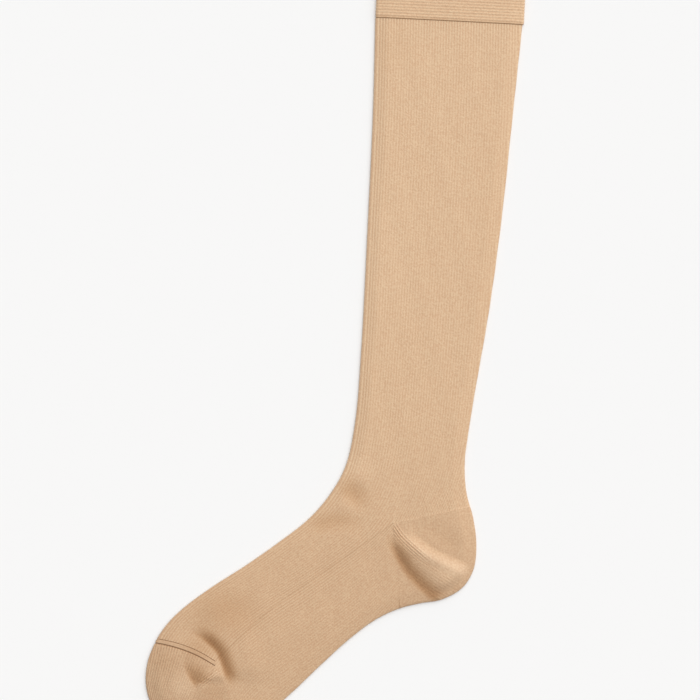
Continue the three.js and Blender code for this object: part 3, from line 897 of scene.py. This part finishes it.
def make_top_band():
    y = MOUTH_Y + (BAND_SEAM_Y - MOUTH_Y) * shares(BAND_ROWS, 0)
    front = np.stack([np.full_like(y, BAND_FRONT_X), y], -1)
    back = np.stack([np.full_like(y, BAND_BACK_X), y], -1)
    from_rim = np.minimum(y - BAND_SEAM_Y, MOUTH_Y - y)
    rounding = BAND_EDGE - np.sqrt(np.maximum(BAND_EDGE**2 - np.maximum(BAND_EDGE - from_rim, 0) ** 2, 0))
    course = (y - BAND_SEAM_Y) / COURSE_PITCH - BAND_COURSE_START
    pressed = np.minimum(rounding, BAND_EDGE_DEPTH) + COURSE_DEPTH * rib_groove(course)

    def depth_at(wale, _around):
        return pressed[:, None] * np.ones_like(wale)

    grid = ring_grid(front, (front + back) / 2, back, BAND, y, np.zeros_like(y), depth_at)
    above = (y - BAND_SEAM_Y)[:, None]
    stitches = rib_groove(grid.wale[:, :-1] + BAND_STITCH_SLANT * above)
    from_row = above - BAND_ROW_HEIGHT
    row_shade = near(BAND_ROW_SHADE, from_row) + near(BAND_STITCH_SHADE, from_row) * stitches
    seam_shade = near(BAND_SEAM_SHADE, above) + row_shade
    grid.tone = (1 - BAND_COURSE_SHADE * rib_groove(course)[:, None]) * (1 - seam_shade)
    # The band's courses lie across the leg, and take the place of its ribs.
    grid.course = grid.wale * RIB_PITCH
    grid.wale = np.broadcast_to(course[:, None], grid.wale.shape)
    piece = make_shell("knit_top_band", grid, spare=0, coarse=INNER_STEP)
    finish_piece(piece, "top_band", "band_knit")


LEG_ROWS = 150


def make_leg():
    share = shares(LEG_ROWS)
    front = front_fold.between(BAND_SEAM_Y, INSTEP_FOLD_Y)(share)
    back = back_fold.between(BAND_SEAM_Y, HEEL_TOP_FOLD_Y)(share)
    middle = leg_side_line.at(share)
    course = BAND_SEAM_Y - share * leg_side_line.length

    def depth_at(wale, _around):
        return RIB_DEPTH * rib_groove(wale)

    grid = ring_grid(front, middle, back, BODY, course, np.zeros_like(share), depth_at)
    set_tone(grid)
    from_top = (BAND_SEAM_Y - course)[:, None]
    from_bottom = (course - course[-2])[:, None]
    from_front = grid.wale[:, :-1] * RIB_PITCH
    from_side_line = from_front - np.linalg.norm(front - middle, axis=-1)[:, None]
    grid.ribs = 1 + near(TOP_RIBS, from_top) + near(TOP_RIB_ENDS, from_top) + near(FRONT_RIBS, from_front)
    past_front = np.arange(grid.tone.shape[1]) > QUARTER_COLUMNS
    behind = smoothstep(from_side_line, 0, LEG_END_START) * past_front
    side_light = near(LEG_SIDE_LIGHT, from_side_line) * bell(from_bottom / LEG_SIDE_SPREAD)
    grid.tone = grid.tone * (1 + near(LEG_END_LIGHT, from_bottom) * behind + side_light)
    grid.painted_shading = grid.painted_shading * (1 + near(PAINTED_FRONT_FOLD_LIGHT, from_front))
    piece = make_shell("knit_leg", grid, coarse=INNER_STEP)
    finish_piece(piece, "leg", "rib_knit")


FOOT_ROWS = 130
SOLE_EDGE = (0.48, 0.52)  # share of the way across where the instep's ribs pass into the sole's


def make_foot():
    share = shares(FOOT_ROWS)
    front = front_fold.between(INSTEP_FOLD_Y, TOE_SEAM_UPPER_FOLD_Y)(share)
    back = back_fold.between(HEEL_SOLE_FOLD_Y, TOE_SOLE_FOLD_Y)(share)
    middle = foot_side_line.at(share)
    course = -share * foot_side_line.length
    bow = TOE_SEAM_BOW * np.clip(share, 0, 1) ** 3

    def depth_at(wale, around):
        instep = 1 - smoothstep(around, *SOLE_EDGE)
        return (SOLE_RIB_DEPTH + (RIB_DEPTH - SOLE_RIB_DEPTH) * instep) * rib_groove(wale)

    grid = ring_grid(front, middle, back, BODY, course, bow, depth_at)
    set_tone(grid)
    from_top = (course[1] - course)[:, None]
    from_front = grid.wale[:, :-1] * RIB_PITCH
    from_side_line = from_front - np.linalg.norm(front - middle, axis=-1)[:, None]
    from_back = np.linalg.norm(back - middle, axis=-1)[:, None] - from_side_line
    grid.ribs = 1 + near(FOOT_SIDE_RIBS, from_side_line) + near(FRONT_RIBS, from_front)
    heel_shade = near(FOOT_HEEL_SHADE, from_top) * bell(from_back / FOOT_HEEL_SPREAD)
    grid.tone = grid.tone * (1 - near(FOOT_SIDE_SHADE, from_side_line) - heel_shade)
    grid.painted_shading = grid.painted_shading * (1 + near(PAINTED_FRONT_FOLD_LIGHT, from_front))
    piece = make_shell("knit_foot", grid, coarse=INNER_STEP)
    finish_piece(piece, "foot", "rib_knit")


def fan_middle(corner, edge):
    """The points near their corner at which a pocket's sections start."""
    towards = edge - corner
    return corner + PIVOT * towards / np.linalg.norm(towards, axis=-1, keepdims=True)


def add_gore(grid, gore, columns):
    """Raises the gore's lines on the visible side and paints a highlight on them and shade round them.
    Returns the distance from its path.
    """
    rise, tone, offset = gore_rise(gore, grid.outer[..., 0], grid.outer[..., 1])
    upper = np.arange(2 * columns + 1) < columns
    grid.outer[..., 2] += rise * upper
    grid.tone = grid.tone * np.where(upper, tone, 1)
    return offset


HEEL_ROWS = 200
HEEL_COLUMNS = 90
FOOT_SLOPE = math.radians(39.4)
HEEL_RIBS = 0.25
SOLE_RIBS = 0.6
GORE_RIBS = {"added": 0.4, "from": 45, "to": 60}  # below the gore, growing along X


def make_heel_pocket():
    share = shares(HEEL_ROWS)
    fold = back_fold.between(HEEL_TOP_FOLD_Y, HEEL_SOLE_FOLD_Y)(share)
    level = np.zeros_like(share)
    grid = fan_grid(fold, fan_middle(np.array(HEEL_CORNER), fold), HEEL_COLUMNS, level, level)
    set_tone(grid)
    offset = add_gore(grid, HEEL_GORE, HEEL_COLUMNS)
    set_heel_map(grid, offset)
    piece = make_shell("knit_heel_pocket", grid)
    finish_piece(piece, "heel_pocket", "plain_knit")


def set_heel_map(grid, offset):
    """Ribs run down the heel, along the gore below it, and along the foot below the tuck."""
    x, y = grid.outer[..., 0], grid.outer[..., 1]
    across_foot = -x * math.sin(FOOT_SLOPE) + y * math.cos(FOOT_SLOPE)
    along_foot = x * math.cos(FOOT_SLOPE) + y * math.sin(FOOT_SLOPE)
    along_gore = x * math.cos(FOOT_SLOPE) - y * math.sin(FOOT_SLOPE)
    above = offset > 0
    sole = nearest(HEEL_TUCK["line"], x, y)[2] < 0
    below_gore = HEEL_RIBS + GORE_RIBS["added"] * smoothstep(x, GORE_RIBS["from"], GORE_RIBS["to"])
    grid.wale = np.where(above, x, np.where(sole, across_foot, offset)) / RIB_PITCH
    grid.course = np.where(above, y, np.where(sole, along_foot, along_gore))
    grid.ribs = np.where(above, HEEL_RIBS, np.where(sole, SOLE_RIBS, below_gore))


SEAM_ROWS = 16
SEAM_COLUMNS = 60
SEAM_WIDTH = 3
SEAM_EDGE = 0.2  # share of the strip's width in which either edge rounds down
SEAM_EDGE_DEPTH = 0.75
SEAM_EDGE_TONE = 0.5


def make_toe_seam():
    share = shares(SEAM_ROWS, 0)
    front = front_fold.between(TOE_SEAM_UPPER_FOLD_Y, TOE_SEAM_LOWER_FOLD_Y)(share)
    corner = graded((np.array(TOE_CORNER_UPPER), np.array(TOE_CORNER_LOWER)), share[:, None])
    edge = smoothstep(np.minimum(share, 1 - share), 0, SEAM_EDGE)
    bow = TOE_SEAM_BOW * np.ones_like(share)
    grid = fan_grid(front, corner, SEAM_COLUMNS, bow, SEAM_EDGE_DEPTH * (1 - edge))
    grid.wale = np.broadcast_to(np.arange(2 * SEAM_COLUMNS + 1.0), grid.tone.shape)
    grid.course = np.broadcast_to(share[:, None] * SEAM_WIDTH, grid.tone.shape)
    set_tone(grid)
    grid.tone = grid.tone * graded((SEAM_EDGE_TONE, 1), edge)[:, None]
    piece = make_shell("knit_toe_seam", grid, spare=0)
    finish_piece(piece, "toe_seam", "seam_knit")


TOE_ROWS = 220
TOE_COLUMNS = 90
TOE_CORNER_SHARE = 0.5  # share of the fan in which the sections stay on the lower corner
TOE_BOW_SHARE = 0.3  # share of the fan over which the bow of the toe seam dies away
TOE_EDGE = 0.012  # share of the fan in which the edge at the toe seam rounds down
TOE_EDGE_DEPTH = 0.5
TOE_EDGE_TONE = 0.7
TOE_RIBS = 1.6


def make_toe_cap():
    share = shares(TOE_ROWS, 0)
    outline = toe_outline().at(share)
    corners = (np.array(TOE_CORNER_LOWER), np.array(TOE_CORNER_UPPER))
    corner = graded(corners, smoothstep(share, TOE_CORNER_SHARE, 1)[:, None])
    bow = TOE_SEAM_BOW * (1 - smoothstep(share, 0, TOE_BOW_SHARE))
    edge = smoothstep(share, 0, TOE_EDGE)
    grid = fan_grid(outline, fan_middle(corner, outline), TOE_COLUMNS, bow, TOE_EDGE_DEPTH * (1 - edge))
    set_tone(grid)
    grid.tone = grid.tone * graded((TOE_EDGE_TONE, 1), edge)[:, None]
    add_gore(grid, TOE_GORE, TOE_COLUMNS)
    grid.ribs = grid.ribs * TOE_RIBS
    x, y = grid.outer[..., 0] - TOE_RIB_CENTRE[0], grid.outer[..., 1] - TOE_RIB_CENTRE[1]
    grid.wale = np.arctan2(y, x) * TOE_RIB_REACH / RIB_PITCH
    grid.course = np.hypot(x, y)
    piece = make_shell("knit_toe_cap", grid, spare=0)
    finish_piece(piece, "toe_cap", "plain_knit")


make_top_band()
make_leg()
make_foot()
make_heel_pocket()
make_toe_seam()
make_toe_cap()

# ---- Floor, light and camera ------------------------------------------------------------------
FLOOR_REACH = 3.0  # metres
FLOOR_LOOK = {"Base Color": (0.9, 0.9, 0.9, 1), "Roughness": 0.9, "Specular IOR Level": 0.1}
AIR_COLOUR = (1.0, 0.99, 0.975, 1)
AIR_STRENGTH = 0.38
WINDOW_SIZE = math.radians(90)
WINDOW_STRENGTH = 2.72
WINDOW_AZIMUTH = math.radians(55)
WINDOW_ELEVATION = math.radians(50)
VIEW_CENTRE = (-6.6, 166.1)
VIEW_WIDTH = 476.0
VIEW_TURN = math.radians(2.86)
VIEW_REACH = 20  # metres
LENS = 200.0
SENSOR = 36.0


def make_floor():
    mesh = bpy.data.meshes.new("floor")
    corners = [(x * FLOOR_REACH, y * FLOOR_REACH, 0) for x, y in ((-1, -1), (1, -1), (1, 1), (-1, 1))]
    mesh.from_pydata(corners, [], [(0, 1, 2, 3)])
    floor = bpy.data.objects.new("floor", mesh)
    bpy.context.scene.collection.objects.link(floor)
    material = bpy.data.materials.new("floor")
    nodes = Nodes(material)
    nodes.finish(nodes.add("ShaderNodeBsdfPrincipled", FLOOR_LOOK))
    mesh.materials.append(material)


def make_lights():
    world = bpy.data.worlds.new("studio")
    bpy.context.scene.world = world
    world.use_nodes = True
    background = world.node_tree.nodes["Background"]
    background.inputs["Color"].default_value = AIR_COLOUR
    background.inputs["Strength"].default_value = AIR_STRENGTH
    light = bpy.data.lights.new("window", "SUN")
    light.angle = WINDOW_SIZE
    light.energy = WINDOW_STRENGTH
    lamp = bpy.data.objects.new("window", light)
    bpy.context.scene.collection.objects.link(lamp)
    level = math.cos(WINDOW_ELEVATION)
    direction = Vector((
        math.cos(WINDOW_AZIMUTH) * level, math.sin(WINDOW_AZIMUTH) * level, math.sin(WINDOW_ELEVATION)
    ))
    lamp.location = direction
    lamp.rotation_euler = direction.to_track_quat("Z", "Y").to_euler()


def make_camera():
    data = bpy.data.cameras.new("camera")
    data.lens = LENS
    data.sensor_width = SENSOR
    data.clip_end = VIEW_REACH
    camera = bpy.data.objects.new("camera", data)
    bpy.context.scene.collection.objects.link(camera)
    centre = place(np.array([*VIEW_CENTRE, 0.0]))
    distance = VIEW_WIDTH * MM * LENS / SENSOR
    camera.location = (centre[0], centre[1], distance)
    camera.rotation_euler = (0, 0, VIEW_TURN)
    bpy.context.scene.camera = camera


make_floor()
make_lights()
make_camera()
bpy.context.scene.view_settings.view_transform = "Standard"
